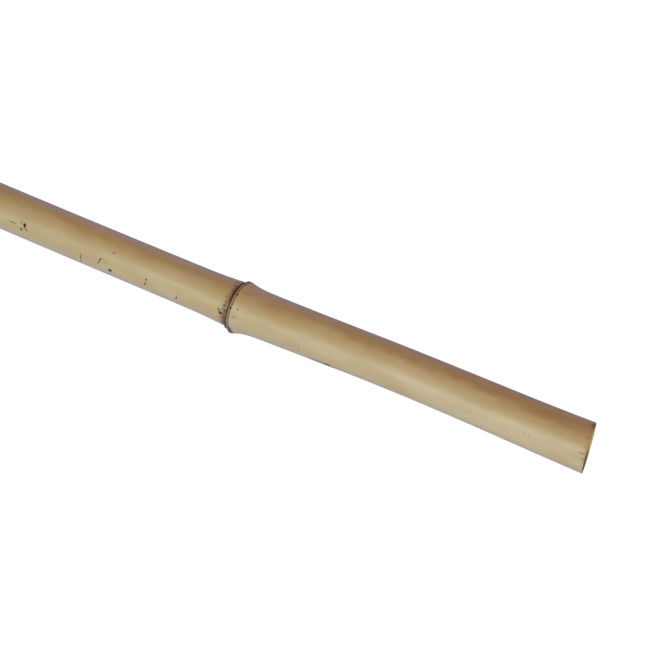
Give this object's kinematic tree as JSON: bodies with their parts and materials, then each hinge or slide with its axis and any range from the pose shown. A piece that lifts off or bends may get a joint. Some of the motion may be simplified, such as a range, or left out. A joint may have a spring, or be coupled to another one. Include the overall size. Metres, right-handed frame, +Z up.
{
  "type": "bamboo cane",
  "caption": "Straight garden cane of bamboo with ringed nodes and open sawn ends, lying on a surface.",
  "frame": {"origin": "middle of the cane's footprint, on the surface that it lies on", "axes": "+X along the cane towards its thick butt end, +Z up, -Y towards the front, where the bud of the first node faces"},
  "size_m": [0.7518, 0.03, 0.0265],
  "materials": {
    "bamboo": "smooth waxy skin, straw to tan, satin"
  },
  "bodies": {
    "root": {"cane": "bamboo"}
  },
  "joints": []
}
